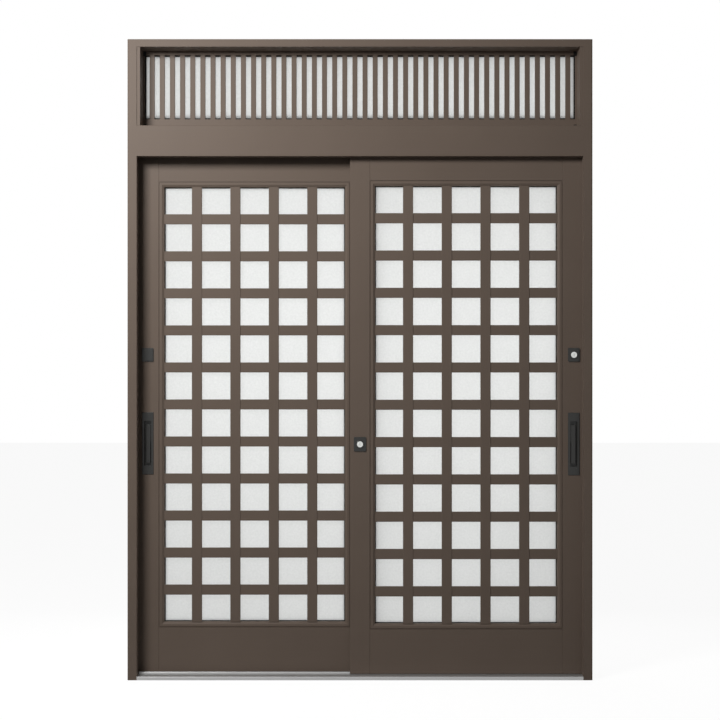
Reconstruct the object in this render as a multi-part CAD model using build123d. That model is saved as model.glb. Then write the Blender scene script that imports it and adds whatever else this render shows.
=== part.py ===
from build123d import *
import os

# A two-panel sliding entrance door with its frame and a transom light above.
# X runs along the door, Y from outdoors (negative) to indoors, Z up.
# The origin is at the middle of the sill's underside. Millimetres.

# Frame
door_width = 1690.0
door_height = 2330.0
frame_depth = 140.0
jamb_face = 33.0
jamb_bevel_width = 5.0
jamb_bevel_depth = 1.5
head_face = 27.0
transom_height = 286.0
bar_face = 111.5
bar_bevel = 3.0
sill_rise = 13.0
sill_nose_radius = 2.0
wall = 2.0

# Tracks: the outer panel runs in front of the inner one
panel_setback = 41.0
track_pitch = 40.0
pocket_side_gap = 1.75
pocket_end_gap = 2.0
jamb_lap = 6.0
skirt_gap = 4.0
guide_fin_thickness = 3.0
guide_fin_length = 20.0
guide_fin_side_gap = 0.8
guide_fin_end_gap = 3.0
bar_recess = 26.5
rail_rise = 6.0
rail_width = 4.4
rail_rib_width = 2.4
rail_crown_radius = 1.5
rail_slot_width = 14.0

# Panels
panel_thickness = 32.0
panel_wall = 2.0
panel_corner_break = 1.0
meeting_stile_width = 73.2
lock_stile_width = 76.0
top_rail_height = 105.5
bottom_rail_height = 163.0
panel_bottom_gap = 2.0
panel_top_lap = 21.5
rail_channel_height = 50.0
guide_channel_height = 28.0
rail_notch_height = 10.0
brush_inset = 8.0
brush_width = 5.0
brush_gap = 0.5

# Glazing
bead_width = 19.0
bead_groove = 2.5
bead_groove_depth = 3.0
bead_flat_end = 11.0
bead_flat_depth = 0.5
bead_slope_depth = 6.0
bead_wall = 2.0
inner_bead_thickness = 3.5
gasket_lip = 3.0
gasket_thickness = 1.5
inner_gasket_thickness = 1.0
glass_thickness = 4.0
glass_front_depth = 23.0
glass_edge_gap = 6.0
setting_block_length = 60.0

# Lattice
lattice_bar_width = 37.2
upright_pitch = 142.0
crossbar_pitch = 136.85
lattice_front_depth = 3.0
lattice_back_depth = 12.0
lattice_wall = 2.0
lattice_chamfer = 0.8

# Transom light
cover_width = 12.0
cover_setback = 3.0
transom_sash_setback = 85.0
transom_sash_depth = 30.0
transom_side_face = 5.0
transom_top_face = 13.0
transom_bottom_face = 36.0
transom_stop = 5.0
transom_glass_thickness = 3.0
transom_glass_depth = 10.0
transom_edge_gap = 1.0
transom_gasket_thickness = 1.5
transom_bar_width = 18.5
transom_bar_pitch = 37.46
transom_bar_front_gap = 1.0
transom_bar_chamfer = 0.8
corner_block_width = 11.0
corner_block_height = 16.0
corner_block_proud = 2.0

# Rollers and guides
wheel_radius = 12.0
wheel_width = 8.0
wheel_rail_gap = 0.3
axle_radius = 3.0
running_gap = 0.05
housing_length = 64.0
housing_lift = 4.0
housing_slot_gap = 1.0
roller_inset = 90.0
guide_block_length = 45.0
guide_block_inset = 30.0

# Pulls
pull_height = 856.5
pull_width = 43.0
pull_length = 229.0
pull_edge = 1.0
pull_proud = 2.5
pull_edge_distance = 35.0
recess_width = 25.0
recess_length = 165.0
recess_depth = 11.5
cup_wall = 1.5
cup_gap = 0.2
grip_width = 18.0
grip_jamb_gap = 5.0
grip_top_gap = 13.0
grip_bottom_gap = 11.0
grip_sunk = 1.0
grip_thickness = 6.0
grip_edge = 1.5
grip_slot_share = 0.55
post_length = 14.0

# Edge locks
lock_height = 1183.0
lock_edge_distance = 35.0
lock_plate_width = 43.0
lock_plate_height = 50.5
lock_plate_corner = 2.5
lock_plate_proud = 3.5
bezel_radius = 15.5
bezel_proud = 3.0
cylinder_radius = 11.0
cylinder_proud = 1.5
cylinder_reach = 6.0
plug_radius = 7.0
keyway_width = 2.0
keyway_height = 8.0
keyway_depth = 6.0
fit_gap = 0.05
stile_hole_gap = 0.3
blank_raise = 1.0
blank_margin = 4.0
rose_proud = 2.0
dish_radius = 17.0
dish_depth = 6.0
dish_wall = 1.5
knob_width = 8.0
knob_length = 28.0
knob_corner = 2.0
knob_proud = 5.0
spindle_width = 7.0
spindle_gap = 0.5
case_width = 46.0
case_height = 90.0
case_thickness = 16.0
hook_pivot_setback = 15.0
hook_pivot_drop = 18.0
hook_thickness = 7.0
hook_width = 10.0
hook_length = 32.0
hook_tail = 6.0
hook_nose = 8.0
hook_corner = 2.0
hook_pin_radius = 3.0
hook_slot_width = 8.0
hook_slot_gap = 3.0
sweep_gap = 0.3
strike_thickness = 1.5
strike_width = 18.0
strike_margin = 10.0
keeper_wall = 1.0
keeper_gap = 0.25
keeper_end_gap = 1.0

# Meeting lock
meeting_lock_height = 855.5
meeting_plate_width = 45.0
meeting_plate_height = 53.0
bolt_radius = 5.0
bolt_length = 20.0
bolt_drop = 20.0
bolt_sunk = 1.0
bush_wall = 3.0
bush_length = 6.0
bolt_hole_gap = 1.5
meeting_case_width = 40.0
meeting_case_height = 64.0
meeting_case_depth = 20.0
meeting_case_wall = 1.5
meeting_knob_proud = 17.0
receiver_width = 26.0
receiver_thickness = 1.0

# Stops, buffers and fixing
buffer_height = 40.0
buffer_width = 16.0
buffer_low = 150.0
buffer_middle = 620.0
buffer_drop = 155.5
stop_length = 20.0
stop_gap = 0.5
stop_drop = 23.0
stop_width = 28.0
stop_inset = 54.9
fixing_hole_radius = 2.75
access_width = 12.0
fixing_low = 200.0
fixing_pitch = 600.0

# Places worked out from the values above
front = -frame_depth / 2
back = frame_depth / 2
half_width = door_width / 2
clear_half = half_width - jamb_face
head_underside = door_height - head_face
bar_top = head_underside - transom_height
bar_underside = bar_top - bar_face
panel_front = front + panel_setback
panel_back = panel_front + panel_thickness
track_line = panel_front + panel_thickness / 2
inner_front = panel_front + track_pitch
inner_back = panel_back + track_pitch
panel_bottom = sill_rise + panel_bottom_gap
panel_top = bar_underside + panel_top_lap
lock_edge = clear_half + jamb_lap
pocket_floor = lock_edge + pocket_end_gap
meeting_half = meeting_stile_width / 2
light_left = meeting_half
light_right = lock_edge - lock_stile_width
light_bottom = panel_bottom + bottom_rail_height
light_top = panel_top - top_rail_height
recess_top = bar_underside + bar_recess
fin_bottom = recess_top - guide_fin_length
rail_top = sill_rise + rail_rise
axle_height = rail_top + wheel_rail_gap + wheel_radius
pull_x = lock_edge - pull_edge_distance
lock_x = lock_edge - lock_edge_distance
pivot_x = lock_edge - hook_pivot_setback
pivot_z = lock_height - hook_pivot_drop
hook_slot_bottom = pivot_z - hook_width / 2 - hook_slot_gap
hook_slot_top = pivot_z + hook_length + hook_slot_gap
bolt_z = meeting_lock_height - bolt_drop
slide_travel = clear_half - stop_inset - stop_length - stop_gap - meeting_half
buffer_levels = (buffer_low, buffer_middle, bar_underside - buffer_drop)
fixing_count = int((door_height - fixing_low) / fixing_pitch) + 1
upright_count = int((light_right - light_left - 2 * bead_width) / upright_pitch)
crossbar_count = int((light_top - light_bottom - 2 * bead_width) / crossbar_pitch)


def rect(a, b):
    """A rectangle between the pairs of limits a (first axis) and b (second)."""
    centre = Pos((a[0] + a[1]) / 2, (b[0] + b[1]) / 2)
    return centre * Rectangle(a[1] - a[0], b[1] - b[0])


def block(x, y, z):
    """A box between the pairs of limits x, y and z."""
    return along_z(rect(x, y), z)


def along_x(face, x):
    """A face drawn in (Y, Z), extruded between the limits x."""
    return extrude(Plane.YZ.offset(x[0]) * face, amount=x[1] - x[0], dir=(1, 0, 0))


def along_y(face, y):
    """A face drawn in (X, Z), extruded between the limits y."""
    plane = Plane(origin=(0, y[1], 0), x_dir=(1, 0, 0), z_dir=(0, -1, 0))
    return extrude(plane * face, amount=y[1] - y[0], dir=(0, -1, 0))


def along_z(face, z):
    """A face drawn in (X, Y), extruded between the limits z."""
    return extrude(Pos(0, 0, z[0]) * face, amount=z[1] - z[0], dir=(0, 0, 1))


def span(middle, length):
    """The limits of a length centred on middle."""
    return (middle - length / 2, middle + length / 2)


def disc_y(x, z, radius, y):
    """A round bar along Y."""
    return along_y(Pos(x, z) * Circle(radius), y)


def indoors(shape):
    """The same piece on the indoor side of a panel."""
    return Pos(0, 2 * track_line, 0) * mirror(shape, about=Plane.XZ)


def to_inner(shape):
    """A piece of the outer panel, handed and set back for the inner panel."""
    return Pos(0, track_pitch, 0) * mirror(shape, about=Plane.YZ)


def several(*shapes):
    """Separate solids kept together as one sub-part."""
    return Compound(children=[s for shape in shapes for s in shape.solids()])


# Frame extrusions


def keeper_section(line, margin):
    """The outline of the closed box behind a strike's slot, with a margin round it."""
    reach = keeper_wall + margin
    return rect(
        span(line, hook_slot_width + 2 * reach),
        (hook_slot_bottom - reach, hook_slot_top + reach),
    )


def jamb(locked_track):
    """The right-hand jamb: a hollow base, with three strips clipped to its face.

    The strips leave a pocket for each panel's edge. The panel locks into one pocket.
    The fixing screws are reached from the other."""
    outer_pocket = (panel_front - pocket_side_gap, panel_back + pocket_side_gap)
    inner_pocket = (inner_front - pocket_side_gap, inner_back + pocket_side_gap)
    section = rect((pocket_floor, half_width), (front, back))
    inside = (pocket_floor + wall, half_width - wall)
    section -= rect(inside, (front + wall, outer_pocket[0] - wall))
    section -= rect(inside, (outer_pocket[0], inner_pocket[1]))
    section -= rect(inside, (inner_pocket[1] + wall, back - wall))
    section -= Polygon(
        (half_width - jamb_bevel_width, front),
        (half_width, front),
        (half_width, front + jamb_bevel_depth),
        align=None,
    )
    base = along_z(section, (0, door_height))
    base -= along_x(keeper_section(locked_track, keeper_gap), (pocket_floor, pocket_floor + wall))
    fixing_y = 2 * track_line + track_pitch - locked_track
    access = Rectangle(access_width, access_width)
    for step in range(fixing_count):
        centre = Pos(fixing_y, fixing_low + step * fixing_pitch)
        base -= along_x(centre * Circle(fixing_hole_radius), (half_width - wall, half_width))
        base -= along_x(centre * access, (pocket_floor, pocket_floor + wall))
    strips = [rect((clear_half, pocket_floor), (outer_pocket[1], inner_pocket[0]))]
    for low, high in ((front, outer_pocket[0]), (inner_pocket[1], back)):
        strip = rect((clear_half, pocket_floor), (low, high))
        strips.append(strip - rect((clear_half + wall, pocket_floor), (low + wall, high - wall)))
    return several(base, *(along_z(strip, (0, door_height)) for strip in strips))


def head():
    """The top member, hollow, between the jambs."""
    section = rect((front, back), (head_underside, door_height))
    inside = (head_underside + wall, door_height - wall)
    section -= rect((front + wall, -wall / 2), inside)
    section -= rect((wall / 2, back - wall), inside)
    return along_x(section, (-clear_half, clear_half))


def transom_bar():
    """The bar between door and transom light.

    A hollow base, with a skirt clipped under each edge and a guide fin over each track."""
    skirt_front = panel_front - skirt_gap
    skirt_back = inner_back + skirt_gap
    section = rect((front, back), (recess_top, bar_top))
    inside = (recess_top + wall, bar_top - wall)
    section -= rect((front + wall, skirt_front - wall), inside)
    section -= rect((skirt_front, skirt_back), inside)
    section -= rect((skirt_back + wall, back - wall), inside)
    section -= Polygon(
        (front, bar_top - bar_bevel / 2),
        (front + bar_bevel / 2, bar_top),
        (front, bar_top),
        align=None,
    )
    sections = [section]
    for low, high in ((front, skirt_front), (skirt_back, back)):
        skirt = rect((low, high), (bar_underside, recess_top))
        sections.append(skirt - rect((low + wall, high - wall), (bar_underside + wall, recess_top)))
    for line in (track_line, track_line + track_pitch):
        sections.append(rect(span(line, guide_fin_thickness), (fin_bottom, recess_top)))
    return several(*(along_x(part, (-clear_half, clear_half)) for part in sections))


def sill():
    """The threshold: a low hollow section, and a rib let into it under each rail."""
    section = rect((front, back), (0, sill_rise))
    section = fillet(section.vertices().group_by(Axis.Y)[-1].sort_by(Axis.X)[0], sill_nose_radius)
    inside = (wall, sill_rise - wall)
    lines = (front, track_line, track_line + track_pitch, back)
    for low, high in zip(lines, lines[1:]):
        section -= rect((low + wall, high - wall), inside)
    sections = [section]
    rib_top = rail_top - (rail_width - rail_rib_width) / 2
    for line in (track_line, track_line + track_pitch):
        sections.append(rect(span(line, rail_rib_width), (sill_rise, rib_top)))
    return several(*(along_x(part, (-clear_half, clear_half)) for part in sections))


def sill_rails():
    """A steel cap over each rib, on which the rollers run."""
    rails = []
    for line in (track_line, track_line + track_pitch):
        section = rect(span(line, rail_width), (sill_rise, rail_top))
        section = fillet(section.vertices().group_by(Axis.Y)[-1], rail_crown_radius)
        rib_top = rail_top - (rail_width - rail_rib_width) / 2
        section -= rect(span(line, rail_rib_width), (sill_rise, rib_top))
        rails.append(along_x(section, (-clear_half, clear_half)))
    return several(*rails)


def sill_end_seals():
    """Blocks that close the jamb pockets beside the sill."""
    seals = []
    for face, rear in ((panel_front, panel_back), (inner_front, inner_back)):
        pocket = (face - pocket_side_gap, rear + pocket_side_gap)
        right = block((clear_half, pocket_floor), pocket, (0, sill_rise))
        seals += [right, mirror(right, about=Plane.YZ)]
    return several(*seals)


def strike_plates():
    """A slotted steel plate in each jamb pocket, with a closed box for the hook behind."""
    margin = strike_margin
    plate = rect(
        span(track_line, strike_width),
        (hook_slot_bottom - margin, hook_slot_top + margin),
    )
    slot = rect(span(track_line, hook_slot_width), (hook_slot_bottom, hook_slot_top))
    face = pocket_floor - strike_thickness
    end = half_width - wall - keeper_end_gap
    right = along_x(plate, (face, pocket_floor))
    right += along_x(keeper_section(track_line, 0), (pocket_floor, end))
    right -= along_x(slot, (face, end - keeper_wall))
    return several(right, to_inner(right))


def pocket_buffers():
    """Rubber pads at the bottom of each used pocket, which the closing stile meets."""
    pads = []
    for level in buffer_levels:
        pads.append(
            block(
                (lock_edge, pocket_floor),
                span(track_line, buffer_width),
                span(level, buffer_height),
            )
        )
    return several(*pads, *[to_inner(pad) for pad in pads])


def slide_stops():
    """A saddle on each guide fin that ends the travel of the open panel."""
    reach = -meeting_half - slide_travel - stop_gap
    bottom = recess_top - stop_drop
    body = block(
        (reach - stop_length, reach), span(track_line, stop_width), (bottom, recess_top)
    )
    body -= block(
        (reach - stop_length, reach),
        span(track_line, guide_fin_thickness),
        (fin_bottom, recess_top),
    )
    return several(body, to_inner(body))


# Transom light

sash_front = front + transom_sash_setback
sash_back = sash_front + transom_sash_depth
sash_half = clear_half - cover_width
transom_glass_front = sash_front + transom_glass_depth
transom_glass_back = transom_glass_front + transom_glass_thickness
rebate_half = sash_half - transom_side_face
rebate_top = head_underside - transom_top_face
rebate_bottom = bar_top + transom_bottom_face
transom_bar_count = int(2 * rebate_half / transom_bar_pitch)


def transom_covers():
    """Channels that line the jambs between the bar and the head."""
    section = rect((sash_half, clear_half), (front + cover_setback, back))
    section -= rect((sash_half + wall, clear_half), (front + cover_setback + wall, back - wall))
    right = along_z(section, (bar_top, head_underside))
    return several(right, mirror(right, about=Plane.YZ))


def transom_sash():
    """Two stiles and two rails, each with a stop behind the glass."""
    inner_half = rebate_half - transom_stop
    section = rect((rebate_half, sash_half), (sash_front, sash_back))
    section += rect((inner_half, rebate_half), (transom_glass_back, sash_back))
    stile = along_z(section, (bar_top, head_underside))
    upper = rect((sash_front, sash_back), (rebate_top, head_underside))
    upper += rect((transom_glass_back, sash_back), (rebate_top - transom_stop, rebate_top))
    lower = rect((sash_front, sash_back), (bar_top, rebate_bottom))
    lower += rect((transom_glass_back, sash_back), (rebate_bottom, rebate_bottom + transom_stop))
    inside_lower = (bar_top + wall, rebate_bottom - wall)
    lower -= rect((sash_front + wall, sash_back - wall), inside_lower)
    rails = []
    for profile in (upper, lower):
        face_part = along_x(profile, (-rebate_half, rebate_half))
        for side in (-1, 1):
            ends = sorted((side * inner_half, side * rebate_half))
            face_part -= block(
                ends, (transom_glass_back, sash_back), (bar_top, head_underside)
            )
        rails.append(face_part)
    return several(stile, mirror(stile, about=Plane.YZ), *rails)


def transom_glass():
    """One pane, set into the sash's rebate."""
    half = rebate_half - transom_edge_gap
    return block(
        (-half, half),
        (transom_glass_front, transom_glass_back),
        (rebate_bottom, rebate_top - transom_edge_gap),
    )


def mitred_frame(section, x, z, depth):
    """Four mitred strips around the opening x by z.

    The section is drawn in (distance from the opening's edge, Y), and each
    strip is the extruded section within a trapezium with 45 degree ends."""
    upwards = Plane(origin=(x[1], 0, z[0]), x_dir=(0, 0, 1), z_dir=(-1, 0, 0))
    bottom = extrude(upwards * section, amount=x[1] - x[0], dir=(-1, 0, 0))
    left = Pos(x[0], 0, 0) * along_z(section, z)
    limits = section.bounding_box()
    y = (limits.min.Y, limits.max.Y)
    corner_low = Polygon(
        (x[0], z[0]), (x[1], z[0]), (x[1] - depth, z[0] + depth), (x[0] + depth, z[0] + depth),
        align=None,
    )
    corner_left = Polygon(
        (x[0], z[0]), (x[0] + depth, z[0] + depth), (x[0] + depth, z[1] - depth), (x[0], z[1]),
        align=None,
    )
    bottom &= along_y(corner_low, y)
    left &= along_y(corner_left, y)
    top = Pos(0, 0, z[0] + z[1]) * mirror(bottom, about=Plane.XY)
    right = Pos(x[0] + x[1], 0, 0) * mirror(left, about=Plane.YZ)
    return [bottom, top, left, right]


def transom_seals():
    """The rubber around the pane, and a block that closes each corner of the sash."""
    seal = rect((0, transom_stop), (transom_glass_front - transom_gasket_thickness, transom_glass_front))
    pieces = mitred_frame(
        seal, (-rebate_half, rebate_half), (rebate_bottom, rebate_top), transom_stop
    )
    for low, high in (
        (bar_top, bar_top + corner_block_height),
        (head_underside - corner_block_height, head_underside),
    ):
        right = block(
            (sash_half - corner_block_width, sash_half),
            (sash_front - corner_block_proud, sash_front),
            (low, high),
        )
        pieces += [right, mirror(right, about=Plane.YZ)]
    return several(*pieces)


def transom_bars():
    """The row of upright bars in front of the transom's glass."""
    bars = []
    bar_front = sash_front + transom_bar_front_gap
    bar_back = transom_glass_front - transom_gasket_thickness
    for number in range(transom_bar_count):
        centre = (number - (transom_bar_count - 1) / 2) * transom_bar_pitch
        section = rect(span(centre, transom_bar_width), (bar_front, bar_back))
        front_corners = section.vertices().group_by(Axis.Y)[0]
        section = chamfer(front_corners, transom_bar_chamfer)
        bars.append(along_z(section, (rebate_bottom, rebate_top)))
    return several(*bars)


# Panel members, drawn for the outer panel

rail_bay = (light_left, light_right)
channel = (panel_front + panel_wall, panel_back - panel_wall)


def stile(x):
    """A hollow stile, notched at its foot for the rail and at its top for the fin."""
    section = rect(x, (panel_front, panel_back))
    section = chamfer(section.vertices(), panel_corner_break)
    section -= rect((x[0] + panel_wall, x[1] - panel_wall), channel)
    piece = along_z(section, (panel_bottom, panel_top))
    slot = span(track_line, rail_slot_width)
    piece -= block(x, slot, (panel_bottom, panel_bottom + rail_notch_height))
    return piece - block(x, slot, (fin_bottom - guide_fin_end_gap, panel_top))


def bolt_hole(y):
    """The square hole that the meeting bolt enters."""
    width = 2 * (bolt_radius + bolt_hole_gap)
    return block(span(0, width), y, span(bolt_z, width))


def outer_meeting_stile():
    """The front stile: lock cylinder outside, the bolt's hole at the back."""
    piece = stile((-meeting_half, meeting_half))
    piece -= disc_y(
        0, meeting_lock_height, cylinder_radius + stile_hole_gap,
        (panel_front, panel_front + panel_wall),
    )
    return piece - bolt_hole((panel_back - panel_wall, panel_back))


def inner_meeting_stile():
    """The rear stile: the bolt leaves at its front, the thumb turn is indoors."""
    piece = stile((-meeting_half, meeting_half))
    piece -= disc_y(
        0, bolt_z, bolt_radius + bush_wall, (panel_front, panel_front + panel_wall)
    )
    return piece - disc_y(
        0, meeting_lock_height, plug_radius + stile_hole_gap,
        (panel_back - panel_wall, panel_back),
    )


def pull_cut(y):
    """The window in the stile's wall for a pull's cup."""
    length = recess_length + 2 * (cup_wall + cup_gap)
    width = recess_width + 2 * (cup_wall + cup_gap)
    return block(span(pull_x, width), y, span(pull_height, length))


def lock_stile(keyed):
    """The stile at the jamb, cut for both pulls, the lock and its hook."""
    piece = stile((light_right, lock_edge))
    front_wall = (panel_front, panel_front + panel_wall)
    back_wall = (panel_back - panel_wall, panel_back)
    piece -= pull_cut(front_wall)
    piece -= pull_cut(back_wall)
    if keyed:
        piece -= disc_y(lock_x, lock_height, cylinder_radius + stile_hole_gap, front_wall)
    piece -= disc_y(lock_x, lock_height, dish_radius + dish_wall + stile_hole_gap, back_wall)
    slot = rect(span(track_line, hook_slot_width), (hook_slot_bottom, hook_slot_top))
    return piece - along_x(slot, (lock_edge - panel_wall, lock_edge))


def rail_section(low, high, channel_low, channel_high):
    """A hollow rail with an open channel at one edge, closed to a slot by two lips."""
    section = rect((panel_front, panel_back), (low, high))
    section -= rect(channel, (channel_low, channel_high))
    return section


def bottom_rail():
    """The deep bottom rail: chamber above, roller channel below."""
    web = panel_bottom + rail_channel_height
    section = rail_section(
        panel_bottom, light_bottom, web + panel_wall, light_bottom - panel_wall
    )
    section -= rect(channel, (panel_bottom + panel_wall, web))
    section -= rect(span(track_line, rail_slot_width), (panel_bottom, panel_bottom + panel_wall))
    return along_x(section, rail_bay)


def top_rail():
    """The top rail: guide channel above, chamber below."""
    web = panel_top - guide_channel_height
    section = rail_section(
        light_top, panel_top, light_top + panel_wall, web - panel_wall
    )
    section -= rect(channel, (web, panel_top - panel_wall))
    section -= rect(span(track_line, rail_slot_width), (panel_top - panel_wall, panel_top))
    return along_x(section, rail_bay)


def guide_blocks():
    """Two slotted blocks in the top channel that run along the guide fin."""
    web = panel_top - guide_channel_height
    blocks = []
    for start in (
        light_left + guide_block_inset,
        light_right - guide_block_inset - guide_block_length,
    ):
        run = (start, start + guide_block_length)
        piece = block(run, channel, (web, panel_top - panel_wall))
        slot = guide_fin_thickness + 2 * guide_fin_side_gap
        piece -= block(
            run, span(track_line, slot), (fin_bottom - guide_fin_end_gap, panel_top)
        )
        blocks.append(piece)
    return several(*blocks)


roller_places = (light_left + roller_inset, light_right - roller_inset)


def roller_housings():
    """Two cradles in the bottom channel, each with its axle riveted in."""
    web = panel_bottom + rail_channel_height
    housings = []
    for middle in roller_places:
        piece = block(
            span(middle, housing_length), channel, (panel_bottom + housing_lift, web)
        )
        slot = wheel_width + 2 * housing_slot_gap
        clear = wheel_radius + housing_slot_gap
        piece -= block(
            span(middle, 2 * clear),
            span(track_line, slot),
            (panel_bottom + housing_lift, axle_height + clear),
        )
        foot = rail_width + 2 * housing_slot_gap
        piece -= block(
            span(middle, housing_length),
            span(track_line, foot),
            (panel_bottom + housing_lift, rail_top + housing_slot_gap),
        )
        piece += disc_y(middle, axle_height, axle_radius, span(track_line, slot))
        housings.append(piece)
    return several(*housings)


def wheel(middle):
    """A flat-treaded roller. Its housing straddles the rail and keeps it in line."""
    section = Circle(wheel_radius) - Circle(axle_radius + running_gap)
    return along_y(Pos(middle, axle_height) * section, span(track_line, wheel_width))


# Glazing and lattice

glass_front = panel_front + glass_front_depth
glass_back = glass_front + glass_thickness
light_x = (light_left, light_right)
light_z = (light_bottom, light_top)


def beads():
    """Outer and inner glazing beads, four mitred strips each."""
    y = panel_front
    leg_back = glass_front - gasket_thickness
    slope_x = bead_width - bead_wall
    section = Polygon(
        (0, y + bead_groove_depth),
        (bead_groove, y + bead_groove_depth),
        (bead_groove, y + bead_flat_depth),
        (bead_flat_end, y + bead_flat_depth),
        (bead_width, y + bead_slope_depth),
        (bead_width, leg_back),
        (slope_x, leg_back),
        (slope_x, y + bead_slope_depth + bead_wall),
        (bead_flat_end - bead_wall / 2, y + bead_flat_depth + bead_wall),
        (bead_groove + bead_wall, y + bead_flat_depth + bead_wall),
        (bead_groove + bead_wall, leg_back),
        (0, leg_back),
        align=None,
    )
    outside = mitred_frame(section, light_x, light_z, bead_width)
    low = glass_back + inner_gasket_thickness
    section = rect((0, bead_width), (low, low + inner_bead_thickness))
    inside = mitred_frame(section, light_x, light_z, bead_width)
    return several(*outside, *inside)


def gaskets():
    """Rubber on both faces of the glass, and two setting blocks under it."""
    lip = bead_width + gasket_lip
    front_run = (bead_width - bead_wall, lip)
    section = rect(front_run, (glass_front - gasket_thickness, glass_front))
    pieces = mitred_frame(section, light_x, light_z, lip)
    section = rect(front_run, (glass_back, glass_back + inner_gasket_thickness))
    pieces += mitred_frame(section, light_x, light_z, lip)
    quarter = (light_right - light_left) / 4
    for middle in (light_left + quarter, light_right - quarter):
        pieces.append(
            block(
                span(middle, setting_block_length),
                (glass_front, glass_back),
                (light_bottom, light_bottom + glass_edge_gap),
            )
        )
    return several(*pieces)


def brush(face, other_face):
    """A strip of brush pile on a meeting stile, from face nearly to the other panel."""
    start = -meeting_half + brush_inset
    tip = other_face - brush_gap if other_face > face else other_face + brush_gap
    run = (panel_bottom + rail_notch_height, fin_bottom - guide_fin_end_gap)
    return block((start, start + brush_width), (min(face, tip), max(face, tip)), run)


def pane():
    """The frosted pane of a panel."""
    return block(
        (light_left + glass_edge_gap, light_right - glass_edge_gap),
        (glass_front, glass_back),
        (light_bottom + glass_edge_gap, light_top - glass_edge_gap),
    )


def channel_section(half, face, rear):
    """An open-backed bar: a web at face, two walls reaching rear, edges broken."""
    section = Polygon(
        (-half, rear),
        (-half, face + lattice_chamfer),
        (-half + lattice_chamfer, face),
        (half - lattice_chamfer, face),
        (half, face + lattice_chamfer),
        (half, rear),
        align=None,
    )
    inside = half - lattice_wall
    return section - rect((-inside, inside), (face + lattice_wall, rear))


light_middle_x = (light_left + light_right) / 2
light_middle_z = (light_bottom + light_top) / 2
crossbar_levels = [
    light_middle_z + (number - (crossbar_count - 1) / 2) * crossbar_pitch
    for number in range(crossbar_count)
]


def uprights():
    """The lattice's upright bars, their walls notched where a crossbar passes."""
    face = panel_front + lattice_front_depth
    rear = panel_front + lattice_back_depth
    bars = []
    for number in range(upright_count):
        centre = light_middle_x + (number - (upright_count - 1) / 2) * upright_pitch
        section = Pos(centre, 0) * channel_section(lattice_bar_width / 2, face, rear)
        bar = along_z(section, (light_bottom + bead_width, light_top - bead_width))
        for level in crossbar_levels:
            bar -= block(
                span(centre, lattice_bar_width),
                (face + lattice_wall, rear),
                span(level, lattice_bar_width),
            )
        bars.append(bar)
    return several(*bars)


def crossbars():
    """The lattice's level bars, behind the face of the uprights."""
    face = panel_front + lattice_front_depth + lattice_wall
    rear = panel_front + lattice_back_depth
    section = channel_section(lattice_bar_width / 2, face, rear)
    start = light_left + bead_width
    length = light_right - light_left - 2 * bead_width
    bars = []
    for level in crossbar_levels:
        place = Plane(origin=(start, 0, level), x_dir=(0, 0, -1), z_dir=(1, 0, 0))
        bars.append(extrude(place * section, amount=length, dir=(1, 0, 0)))
    return several(*bars)


# Pulls


def pull():
    """A black pull: a plate with a cup sunk into the stile behind it."""
    proud = (panel_front - pull_proud, panel_front)
    plate = along_y(Pos(pull_x, pull_height) * Rectangle(pull_width, pull_length), proud)
    plate = chamfer(plate.edges().group_by(Axis.Y)[0], pull_edge)
    floor = panel_front + recess_depth
    width = recess_width + 2 * cup_wall
    length = recess_length + 2 * cup_wall
    plate += block(
        span(pull_x, width), (panel_front, floor + cup_wall), span(pull_height, length)
    )
    return plate - block(
        span(pull_x, recess_width),
        (panel_front - pull_proud, floor),
        span(pull_height, recess_length),
    )


def grip():
    """The bar inside the pull, joined to the recess's wall along its upper part."""
    recess = span(pull_x, recess_width)
    bottom = pull_height - recess_length / 2 + grip_bottom_gap
    top = pull_height + recess_length / 2 - grip_top_gap
    face = panel_front - pull_proud + grip_sunk
    right = recess[1] - grip_jamb_gap
    bar = block((right - grip_width, right), (face, face + grip_thickness), (bottom, top))
    bar = chamfer(
        bar.edges().filter_by(Axis.Z).group_by(Axis.Y)[0], grip_edge
    )
    split = bottom + grip_slot_share * (top - bottom)
    bar += block(
        (recess[0], right - grip_width + grip_edge),
        (face + grip_edge, face + grip_thickness),
        (split, top),
    )
    for low in (bottom, top - post_length):
        bar += block(
            (right - grip_width, right),
            (face + grip_thickness, panel_front + recess_depth),
            (low, low + post_length),
        )
    return bar


# Locks


def plate_outline(x, z, width, height):
    """A lock plate's outline, with its corners cut off."""
    return Pos(x, z) * chamfer(Rectangle(width, height).vertices(), lock_plate_corner)


def lock_plate(x, z, width, height):
    """A black plate with a round collar, bored for the cylinder."""
    face = panel_front - lock_plate_proud
    piece = along_y(plate_outline(x, z, width, height), (face, panel_front))
    piece += disc_y(x, z, bezel_radius, (face - bezel_proud, face))
    return piece - disc_y(x, z, cylinder_radius, (face - bezel_proud, panel_front))


def cylinder_shell(x, z):
    """The fixed outer part of a key cylinder."""
    face = panel_front - lock_plate_proud - bezel_proud - cylinder_proud
    y = (face, panel_front + cylinder_reach)
    piece = disc_y(x, z, cylinder_radius - fit_gap, y)
    return piece - disc_y(x, z, plug_radius + running_gap, y)


def key_plug(x, z):
    """The turning part of a key cylinder, with its keyway."""
    face = panel_front - lock_plate_proud - bezel_proud - cylinder_proud
    piece = disc_y(x, z, plug_radius, (face, panel_front + cylinder_reach))
    return piece - block(
        span(x, keyway_width), (face, face + keyway_depth), span(z, keyway_height)
    )


def blank_plate():
    """The cover outside a lock that has no cylinder."""
    face = panel_front - lock_plate_proud
    outer = plate_outline(lock_x, lock_height, lock_plate_width, lock_plate_height)
    inner = plate_outline(
        lock_x,
        lock_height,
        lock_plate_width - 2 * blank_margin,
        lock_plate_height - 2 * blank_margin,
    )
    return along_y(outer, (face, panel_front)) + along_y(inner, (face - blank_raise, face))


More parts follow.
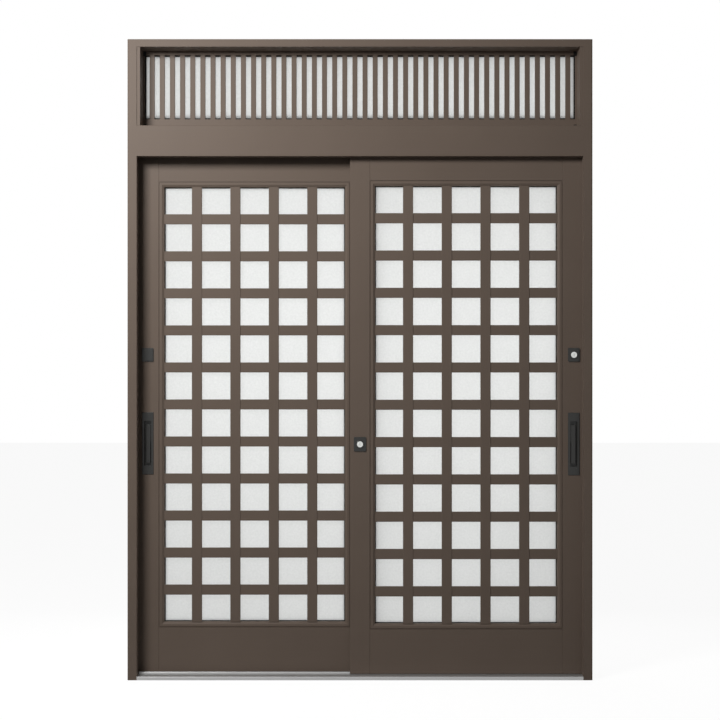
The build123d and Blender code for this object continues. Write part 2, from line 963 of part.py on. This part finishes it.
def rose():
    """The indoor plate of an edge lock, dished so that the knob stays low."""
    outline = plate_outline(lock_x, lock_height, lock_plate_width, lock_plate_height)
    piece = along_y(outline, (panel_back, panel_back + rose_proud))
    floor = panel_back - dish_depth
    piece += disc_y(lock_x, lock_height, dish_radius + dish_wall, (floor - dish_wall, panel_back))
    piece -= disc_y(lock_x, lock_height, dish_radius, (floor, panel_back + rose_proud))
    return piece - disc_y(
        lock_x, lock_height, plug_radius + running_gap, (floor - dish_wall, floor)
    )


case_y = span(track_line, case_thickness)
case_x = (lock_edge - panel_wall - case_width, lock_edge - panel_wall)


def edge_case():
    """The lock case inside the stile, cut out where the hook swings round its pin."""
    piece = block(case_x, case_y, span(lock_height, case_height))
    tail_reach = (hook_tail**2 + hook_width**2 / 4) ** 0.5
    swing = rect((pivot_x - tail_reach - sweep_gap, case_x[1]), (hook_slot_bottom, hook_slot_top))
    corner_x = hook_width / 2 + hook_nose - hook_corner
    corner_z = hook_length - hook_corner
    nose_reach = (corner_x**2 + corner_z**2) ** 0.5 + hook_corner
    nose_start = pivot_x - hook_width / 2 - hook_nose - sweep_gap
    nose_bottom = pivot_z + hook_length - hook_nose - sweep_gap
    nose_space = rect((nose_start, pivot_x), (nose_bottom, hook_slot_top))
    swing += nose_space & (Pos(pivot_x, pivot_z) * Circle(nose_reach + sweep_gap))
    piece -= along_y(swing, span(track_line, hook_slot_width))
    hole = spindle_width * 2**0.5 + 2 * spindle_gap
    piece -= block(span(lock_x, hole), case_y, span(lock_height, hole))
    return piece + disc_y(pivot_x, pivot_z, hook_pin_radius, case_y)


def hook():
    """The sickle bolt, drawn in: it swings out and up behind the strike plate."""
    section = rect(
        span(pivot_x, hook_width), (pivot_z - hook_tail, pivot_z + hook_length)
    )
    nose = (pivot_x - hook_width / 2 - hook_nose, pivot_x - hook_width / 2)
    section += rect(nose, (pivot_z + hook_length - hook_nose, pivot_z + hook_length))
    section = fillet(section.vertices().group_by(Axis.Y)[-1], hook_corner)
    section -= Pos(pivot_x, pivot_z) * Circle(hook_pin_radius + running_gap)
    return along_y(section, span(track_line, hook_thickness))


def spindle_and_knob(x, z, start, floor, hub_start, knob_end):
    """The square spindle, the hub in its plate and the thumb turn."""
    piece = block(span(x, spindle_width), (start, hub_start), span(z, spindle_width))
    piece += disc_y(x, z, plug_radius, (hub_start, floor + fit_gap))
    knob = chamfer(Rectangle(knob_width, knob_length).vertices(), knob_corner)
    return piece + along_y(Pos(x, z) * knob, (floor + fit_gap, knob_end))


def edge_turn(keyed):
    """Thumb turn and spindle of an edge lock, with its key plug where it has one."""
    floor = panel_back - dish_depth
    start = panel_front + cylinder_reach if keyed else case_y[0]
    piece = spindle_and_knob(
        lock_x, lock_height, start, floor, floor - dish_wall, panel_back + knob_proud
    )
    if keyed:
        piece += key_plug(lock_x, lock_height)
    return piece


def receiver():
    """The plate behind the front stile that the meeting bolt enters."""
    y = (panel_back, panel_back + receiver_thickness)
    plate = block(span(0, receiver_width), y, span(bolt_z, receiver_width))
    return plate - bolt_hole(y)


def meeting_case():
    """The meeting lock's case in the rear stile, with the bolt's bush in front."""
    y = (panel_back - panel_wall - meeting_case_depth, panel_back - panel_wall)
    middle = meeting_lock_height - bolt_drop / 2
    piece = block(span(0, meeting_case_width), y, span(middle, meeting_case_height))
    inside = (y[0] + meeting_case_wall, y[1] - meeting_case_wall)
    hollow_width = meeting_case_width - 2 * meeting_case_wall
    hollow_height = meeting_case_height - 2 * meeting_case_wall
    piece -= block(span(0, hollow_width), inside, span(middle, hollow_height))
    bush_end = max(y[0] + meeting_case_wall, panel_front + bush_length)
    piece += disc_y(0, bolt_z, bolt_radius + bush_wall, (panel_front, bush_end))
    piece -= disc_y(0, bolt_z, bolt_radius + running_gap, (panel_front, inside[1]))
    return piece - disc_y(
        0, meeting_lock_height, plug_radius + stile_hole_gap, (inside[1], y[1])
    )


def meeting_rose():
    """The indoor plate of the meeting lock."""
    y = (panel_back, panel_back + lock_plate_proud)
    outline = plate_outline(0, meeting_lock_height, meeting_plate_width, meeting_plate_height)
    piece = along_y(outline, y)
    return piece - disc_y(0, meeting_lock_height, plug_radius + running_gap, y)


def meeting_turn():
    """The thumb turn that drives the meeting bolt."""
    hub_start = panel_back - panel_wall - meeting_case_wall
    start = hub_start - meeting_case_depth / 2
    face = panel_back + lock_plate_proud
    return spindle_and_knob(
        0, meeting_lock_height, start, face, hub_start, panel_back + meeting_knob_proud
    )


def meeting_bolt():
    """The round bolt, drawn back into the rear stile."""
    tip = panel_front + bolt_sunk
    return disc_y(0, bolt_z, bolt_radius, (tip, tip + bolt_length))


def panel_parts(keyed):
    """The pieces that both panels share, drawn for the outer panel."""
    plate = pull()
    bar = grip()
    return {
        "lock_stile": lock_stile(keyed),
        "top_rail": top_rail(),
        "bottom_rail": bottom_rail(),
        "glass": pane(),
        "gaskets": gaskets(),
        "beads": beads(),
        "uprights": uprights(),
        "crossbars": crossbars(),
        "pulls": several(plate, indoors(plate)),
        "pull_grips": several(bar, indoors(bar)),
        "roller_housings": roller_housings(),
        "guide_blocks": guide_blocks(),
        "roller_1": wheel(roller_places[0]),
        "roller_2": wheel(roller_places[1]),
        "edge_hook": hook(),
        "edge_turn": edge_turn(keyed),
    }


def build():
    """Every sub-part by its name."""
    parts = {
        "jamb_right": jamb(track_line),
        "jamb_left": several(mirror(jamb(track_line + track_pitch), about=Plane.YZ)),
        "head": head(),
        "transom_bar": transom_bar(),
        "sill": sill(),
        "sill_rails": sill_rails(),
        "sill_end_seals": sill_end_seals(),
        "strike_plates": strike_plates(),
        "pocket_buffers": pocket_buffers(),
        "slide_stops": slide_stops(),
        "transom_covers": transom_covers(),
        "transom_sash": transom_sash(),
        "transom_glass": transom_glass(),
        "transom_seals": transom_seals(),
        "transom_bars": transom_bars(),
    }
    outer = panel_parts(True)
    outer["meeting_stile"] = outer_meeting_stile()
    outer["gaskets"] = several(outer["gaskets"], brush(panel_back, inner_front))
    outer["lock_plates"] = several(
        lock_plate(lock_x, lock_height, lock_plate_width, lock_plate_height),
        rose(),
        lock_plate(0, meeting_lock_height, meeting_plate_width, meeting_plate_height),
        receiver(),
    )
    outer["cylinders"] = several(
        cylinder_shell(lock_x, lock_height), cylinder_shell(0, meeting_lock_height)
    )
    outer["edge_case"] = edge_case()
    outer["meeting_plug"] = key_plug(0, meeting_lock_height)
    inner = panel_parts(False)
    inner["meeting_stile"] = inner_meeting_stile()
    inner["gaskets"] = several(inner["gaskets"], brush(panel_front, panel_back - track_pitch))
    inner["lock_plates"] = several(blank_plate(), rose(), meeting_rose())
    inner["lock_cases"] = several(edge_case(), meeting_case())
    inner["meeting_turn"] = meeting_turn()
    inner["meeting_bolt"] = meeting_bolt()
    parts.update({"outer_" + name: shape for name, shape in outer.items()})
    parts.update({"inner_" + name: to_inner(shape) for name, shape in inner.items()})
    return parts


os.makedirs("parts", exist_ok=True)
for node, shape in build().items():
    export_step(shape, f"parts/{node}.step")
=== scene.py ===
import math

import bmesh
import bpy
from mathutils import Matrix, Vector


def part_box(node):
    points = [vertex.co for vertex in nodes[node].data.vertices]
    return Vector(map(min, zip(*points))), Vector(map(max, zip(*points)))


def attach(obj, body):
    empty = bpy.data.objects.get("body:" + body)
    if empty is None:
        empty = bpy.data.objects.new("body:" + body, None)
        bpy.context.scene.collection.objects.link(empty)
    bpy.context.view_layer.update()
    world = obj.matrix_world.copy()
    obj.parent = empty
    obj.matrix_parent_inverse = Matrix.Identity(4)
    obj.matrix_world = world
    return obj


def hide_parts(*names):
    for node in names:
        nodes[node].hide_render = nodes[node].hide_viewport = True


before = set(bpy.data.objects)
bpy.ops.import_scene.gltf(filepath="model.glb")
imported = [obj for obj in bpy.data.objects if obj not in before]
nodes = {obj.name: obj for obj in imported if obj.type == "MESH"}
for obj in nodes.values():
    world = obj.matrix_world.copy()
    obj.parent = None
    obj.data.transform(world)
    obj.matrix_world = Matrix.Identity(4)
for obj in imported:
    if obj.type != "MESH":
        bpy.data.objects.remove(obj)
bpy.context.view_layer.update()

# Camera: level, square to the door's middle, at about a third above half its height.
# Metres, in the frame of the CAD model: X along the door, Y indoors, Z up.
door_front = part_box("jamb_left")[0].y
view_distance = 5.25
view_height = 1.164
millimetres_per_pixel = 3.634
picture_width = 720
film_width = 36.0

camera_data = bpy.data.cameras.new("camera")
camera_data.sensor_width = film_width
camera_data.lens = view_distance * 1000 / millimetres_per_pixel * film_width / picture_width
camera = bpy.data.objects.new("camera", camera_data)
camera.location = (0, door_front - view_distance, view_height)
camera.rotation_euler = (math.radians(90), 0, 0)
bpy.context.scene.collection.objects.link(camera)
bpy.context.scene.camera = camera
bpy.context.scene.view_settings.view_transform = "Standard"


# Jambs, head, transom bar and jamb covers: hollow aluminium extrusions, anodised and
# lacquered a mid bronze, cut square and screwed together at the corners. The die leaves
# faint lines along each length, and the lacquer a soft, slightly clouded sheen.
class Wire:
    """An output socket of a shader node. Sums and products of it add Math nodes."""

    def __init__(self, shader, socket):
        self.shader = shader
        self.socket = socket

    def math(self, operation, first, second):
        """A Math node on two values, either of which may be a number."""
        return self.shader.node("ShaderNodeMath", {"operation": operation}, {0: first, 1: second})

    def __add__(self, other):
        return self.math("ADD", self, other)

    def __radd__(self, other):
        return self.math("ADD", other, self)

    def __sub__(self, other):
        return self.math("SUBTRACT", self, other)

    def __rsub__(self, other):
        return self.math("SUBTRACT", other, self)

    def __mul__(self, other):
        return self.math("MULTIPLY", self, other)

    def __rmul__(self, other):
        return self.math("MULTIPLY", other, self)


class Shader:
    """A material whose nodes are all added by one method."""

    def __init__(self, tree):
        self.tree = tree
        self.tree.nodes.clear()

    def node(self, kind, settings, inputs, output=0):
        """Adds a node: its settings first, then the numbers or links of its sockets."""
        node = self.tree.nodes.new(kind)
        for name, value in settings.items():
            setattr(node, name, value)
        for name, value in inputs.items():
            if isinstance(value, Wire):
                self.tree.links.new(value.socket, node.inputs[name])
            else:
                node.inputs[name].default_value = value
        return Wire(self, node.outputs[output])

    def place(self, scale):
        """Object coordinates in metres, stretched by a scale along each axis."""
        where = self.node("ShaderNodeTexCoord", {}, {}, "Object")
        return self.node("ShaderNodeMapping", {}, {"Vector": where, "Scale": scale})

    def noise(self, scale, detail, size):
        """Cloudy noise of a given size, from 0 to 1, on stretched object coordinates."""
        inputs = {"Vector": self.place(scale), "Scale": size, "Detail": detail}
        return self.node("ShaderNodeTexNoise", {}, inputs, "Fac")

    def tint(self, share, one, other):
        """One colour going over to another by a share from 0 to 1."""
        settings = {"data_type": "RGBA"}
        return self.node("ShaderNodeMix", settings, {"Factor": share, 6: one, 7: other}, 2)

    def bump(self, height, strength, depth):
        """A normal tilted by a height."""
        inputs = {"Height": height, "Strength": strength, "Distance": depth}
        return self.node("ShaderNodeBump", {}, inputs, "Normal")

    def finish(self, surface):
        """Sends the surface to the material's output."""
        output = self.tree.nodes.new("ShaderNodeOutputMaterial")
        self.tree.links.new(surface.socket, output.inputs["Surface"])


def new_finish(name):
    """An empty material and the shader that fills it."""
    material = bpy.data.materials.new(name)
    material.use_nodes = True
    return material, Shader(material.node_tree)


def shade(red, green, blue):
    """A colour given as it looks on a screen, 0 to 255, turned into linear light."""
    return (*((value / 255) ** 2.2 for value in (red, green, blue)), 1)


def wear(node_name, material):
    """Gives a CAD node its finish."""
    mesh = nodes[node_name].data
    mesh.materials.clear()
    mesh.materials.append(material)


def lacquered(name, light, dark, along):
    """Lacquered aluminium: die lines that run along one axis, and a soft cloud.

    The lines are noise drawn out 300 times along the extrusion."""
    material, s = new_finish(name)
    stretch = [260.0, 260.0, 260.0]
    stretch[along] = 0.9
    lines = s.noise(tuple(stretch), 2.0, 1.0)
    cloud = s.noise((1, 1, 1), 2.0, 5.0)
    grain = s.noise((1, 1, 1), 1.0, 900.0)
    colour = s.tint(0.6 * cloud + 0.25 * lines + 0.15 * grain, dark, light)
    inputs = {
        "Base Color": colour,
        "Roughness": 0.36 + 0.10 * cloud + 0.08 * lines,
        "Specular IOR Level": 0.10,
        "Metallic": 0.0,
        "Normal": s.bump(lines + 0.4 * grain, 0.10, 0.0004),
    }
    s.finish(s.node("ShaderNodeBsdfPrincipled", {}, inputs))
    return material


bronze_light = shade(115, 102, 92)
bronze_dark = shade(104, 92, 83)
bronze_upright = lacquered("bronze_upright", bronze_light, bronze_dark, 2)
bronze_level = lacquered("bronze_level", bronze_light, bronze_dark, 0)
for name in ("jamb_left", "jamb_right", "transom_covers"):
    wear(name, bronze_upright)
for name in ("head", "transom_bar"):
    wear(name, bronze_level)


# Transom light: a sash of small bronze extrusions screwed between the covers, a pane of
# frosted glass in a rubber seal, and a row of upright bars let into the sash's rails.
rubber, s = new_finish("black_rubber")
fine = s.noise((1, 1, 1), 2.0, 700.0)
inputs = {
    "Base Color": s.tint(fine, shade(26, 26, 25), shade(38, 37, 36)),
    "Roughness": 0.7 + 0.15 * fine,
    "Specular IOR Level": 0.25,
    "Normal": s.bump(fine, 0.15, 0.0003),
}
s.finish(s.node("ShaderNodeBsdfPrincipled", {}, inputs))
frost, s = new_finish("frosted_glass")
mottle = s.noise((1, 1, 1), 3.0, 140.0)
fibre = s.noise((1, 1, 1), 2.0, 520.0)
relief = 0.65 * mottle + 0.35 * fibre
white = s.tint(relief, (0.66, 0.665, 0.66, 1), (0.86, 0.865, 0.86, 1))
inputs = {
    "Base Color": white,
    "Roughness": 0.25 + 0.25 * fibre,
    "Specular IOR Level": 0.35,
    "Normal": s.bump(relief, 0.35, 0.0008),
}
front_glow = s.node("ShaderNodeBsdfPrincipled", {}, inputs)
through_glow = s.node("ShaderNodeBsdfTranslucent", {}, {"Color": white})
translucency = 0.92
inputs = {"Fac": translucency, 1: front_glow, 2: through_glow}
s.finish(s.node("ShaderNodeMixShader", {}, inputs))
wear("transom_sash", bronze_level)
wear("transom_bars", bronze_upright)
wear("transom_glass", frost)
wear("transom_seals", rubber)


# Sill: a low extrusion of bare anodised aluminium, with two ribs that steel rail caps
# clip over. Rubber blocks close the pockets of the jambs at its ends.
bare, s = new_finish("silver_aluminium")
lines = s.noise((0.9, 300, 300), 2.0, 1.0)
cloud = s.noise((1, 1, 1), 2.0, 6.0)
silver_dark = (0.42, 0.42, 0.42, 1)
silver_light = (0.52, 0.52, 0.515, 1)
inputs = {
    "Base Color": s.tint(0.5 * lines + 0.5 * cloud, silver_dark, silver_light),
    "Metallic": 0.55,
    "Roughness": 0.32 + 0.12 * lines,
    "Normal": s.bump(lines, 0.15, 0.0004),
}
s.finish(s.node("ShaderNodeBsdfPrincipled", {}, inputs))
steel, s = new_finish("steel")
lines = s.noise((1.5, 400, 400), 2.0, 1.0)
inputs = {
    "Base Color": s.tint(lines, (0.42, 0.42, 0.42, 1), (0.60, 0.60, 0.59, 1)),
    "Metallic": 0.9,
    "Roughness": 0.26 + 0.14 * lines,
}
s.finish(s.node("ShaderNodeBsdfPrincipled", {}, inputs))
wear("sill", bare)
for name in ("sill_rails", "strike_plates"):
    wear(name, steel)
for name in ("sill_end_seals", "pocket_buffers", "slide_stops"):
    wear(name, rubber)


# Panels: a hollow stile each side, a deep bottom rail and a top rail screwed between
# them. All four are the same lacquered aluminium as the frame.
for side in ("outer_", "inner_"):
    for name in ("lock_stile", "meeting_stile"):
        wear(side + name, bronze_upright)
    for name in ("top_rail", "bottom_rail"):
        wear(side + name, bronze_level)


# Glazing: a frosted pane in each panel, held by mitred bronze beads, with rubber on
# both its faces and setting blocks under it.
for side in ("outer_", "inner_"):
    wear(side + "glass", frost)
    wear(side + "gaskets", rubber)
    wear(side + "beads", bronze_level)


# Lattice: four upright bars whose walls are notched over eleven level ones, all open
# at the back, held between the beads in front of the pane.
for side in ("outer_", "inner_"):
    wear(side + "uprights", bronze_upright)
    wear(side + "crossbars", bronze_level)


# Running gear: nylon rollers in pressed steel housings in the bottom rail, and nylon
# guide blocks in the top rail.
nylon, s = new_finish("nylon")
fine = s.noise((1, 1, 1), 2.0, 300.0)
inputs = {
    "Base Color": s.tint(fine, (0.55, 0.55, 0.53, 1), (0.68, 0.68, 0.66, 1)),
    "Roughness": 0.45 + 0.1 * fine,
}
s.finish(s.node("ShaderNodeBsdfPrincipled", {}, inputs))
for side in ("outer_", "inner_"):
    for name in ("roller_1", "roller_2", "guide_blocks"):
        wear(side + name, nylon)
    wear(side + "roller_housings", steel)


# Pulls: black cast plates with a cup sunk into each lock stile, and a grip bar across
# the cup, one outdoors and one indoors on each panel.
black, s = new_finish("black_metal")
fine = s.noise((1, 1, 1), 2.0, 1100.0)
inputs = {
    "Base Color": s.tint(fine, shade(27, 27, 25), shade(41, 41, 39)),
    "Roughness": 0.34 + 0.14 * fine,
    "Specular IOR Level": 0.45,
    "Normal": s.bump(fine, 0.2, 0.0002),
}
s.finish(s.node("ShaderNodeBsdfPrincipled", {}, inputs))


merge_distance = 0.000002
flat_angle = math.radians(1)
sharp_angle = math.radians(35)


def eased(node_name, body, finish, radius):
    """A CAD node's shape with its sharp edges rounded, in place of that node.

    Its loose triangles are merged, flat faces are made whole, and every edge sharper
    than the given angle gets a round of the given radius."""
    mesh = nodes[node_name].data.copy()
    shape = bmesh.new()
    shape.from_mesh(mesh)
    bmesh.ops.remove_doubles(shape, verts=shape.verts, dist=merge_distance)
    bmesh.ops.dissolve_limit(
        shape, angle_limit=flat_angle, verts=shape.verts, edges=shape.edges
    )
    shape.to_mesh(mesh)
    shape.free()
    mesh.materials.clear()
    mesh.materials.append(finish)
    piece = bpy.data.objects.new(node_name + "_eased", mesh)
    bpy.context.scene.collection.objects.link(piece)
    rounding = piece.modifiers.new("rounding", "BEVEL")
    rounding.width = radius
    rounding.segments = 3
    rounding.limit_method = "ANGLE"
    rounding.angle_limit = sharp_angle
    rounding.use_clamp_overlap = False
    rounding.harden_normals = True
    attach(piece, body)
    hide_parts(node_name)


for side in ("outer_", "inner_"):
    eased(side + "pulls", side + "panel", black, 0.0005)
    eased(side + "pull_grips", side + "panel", black, 0.0008)


# Locks: a hook lock at each lock stile and a bolt lock at the meeting stiles, with
# black plates, satin nickel key cylinders and thumb turns.
nickel, s = new_finish("satin_nickel")
fine = s.noise((1, 1, 1), 2.0, 800.0)
inputs = {
    "Base Color": s.tint(fine, (0.62, 0.63, 0.61, 1), (0.74, 0.75, 0.73, 1)),
    "Metallic": 0.85,
    "Roughness": 0.28 + 0.12 * fine,
}
s.finish(s.node("ShaderNodeBsdfPrincipled", {}, inputs))
for side in ("outer_", "inner_"):
    eased(side + "lock_plates", side + "panel", black, 0.0005)
    eased(side + "edge_turn", side + "edge_turn", nickel, 0.0004)
    wear(side + "edge_hook", steel)
eased("outer_cylinders", "outer_panel", nickel, 0.0003)
eased("outer_meeting_plug", "meeting_key_plug", nickel, 0.0003)
for name in ("outer_edge_case", "inner_lock_cases", "inner_meeting_bolt"):
    wear(name, steel)
eased("inner_meeting_turn", "meeting_turn", black, 0.0005)


# Floor and light: a plain pale floor, a white surround, a broad lamp high on the left
# in front of the door, and a wide low one indoors that lights the panes from behind.
floor_size = 30.0
floor_mesh = bpy.data.meshes.new("floor")
half = floor_size / 2
corners = [(-half, -half, 0), (half, -half, 0), (half, half, 0), (-half, half, 0)]
floor_mesh.from_pydata(corners, [], [(0, 1, 2, 3)])
floor = bpy.data.objects.new("floor", floor_mesh)
bpy.context.scene.collection.objects.link(floor)


def seen_rays(s):
    """1 for the rays that show the surround itself: camera, mirrored and refracted."""
    seen = s.node("ShaderNodeLightPath", {}, {}, "Is Camera Ray")
    for kind in ("Is Glossy Ray", "Is Transmission Ray"):
        ray = s.node("ShaderNodeLightPath", {}, {}, kind)
        seen = seen.math("MAXIMUM", seen, ray)
    return seen


floor_finish, s = new_finish("floor")
floor_glow = 0.75
glow_strength = 1.25
matt = s.node("ShaderNodeBsdfDiffuse", {}, {"Color": (0.5, 0.5, 0.5, 1)})
glow = s.node("ShaderNodeEmission", {}, {"Color": (1, 1, 1, 1), "Strength": glow_strength})
inputs = {"Fac": floor_glow * seen_rays(s), 1: matt, 2: glow}
s.finish(s.node("ShaderNodeMixShader", {}, inputs))
floor_mesh.materials.append(floor_finish)

fill_light = 0.05
world = bpy.data.worlds.new("surround")
world.use_nodes = True
bpy.context.scene.world = world
s = Shader(world.node_tree)
seen = seen_rays(s)
inputs = {"Color": (1, 1, 1, 1), "Strength": seen + fill_light * (1 - seen)}
background = s.node("ShaderNodeBackground", {}, inputs)
output = world.node_tree.nodes.new("ShaderNodeOutputWorld")
world.node_tree.links.new(background.socket, output.inputs["Surface"])


def lamp(name, place, target, width, height, power):
    """A soft rectangular lamp at a place, turned towards a target."""
    data = bpy.data.lights.new(name, "AREA")
    data.shape = "RECTANGLE"
    data.size = width
    data.size_y = height
    data.energy = power
    thing = bpy.data.objects.new(name, data)
    bpy.context.scene.collection.objects.link(thing)
    thing.location = place
    direction = [b - a for a, b in zip(place, target)]
    flat = math.hypot(direction[0], direction[1])
    thing.rotation_euler = (
        math.atan2(flat, -direction[2]), 0, math.atan2(-direction[0], direction[1])
    )
    thing.visible_camera = False


lamp("key_lamp", (-1.5, -2.3, 2.7), (-0.5, 0, 1.9), 0.9, 0.7, 78)
lamp("room_lamp", (0, 1.4, 1.32), (0, 0, 1.32), 3.4, 0.4, 20)
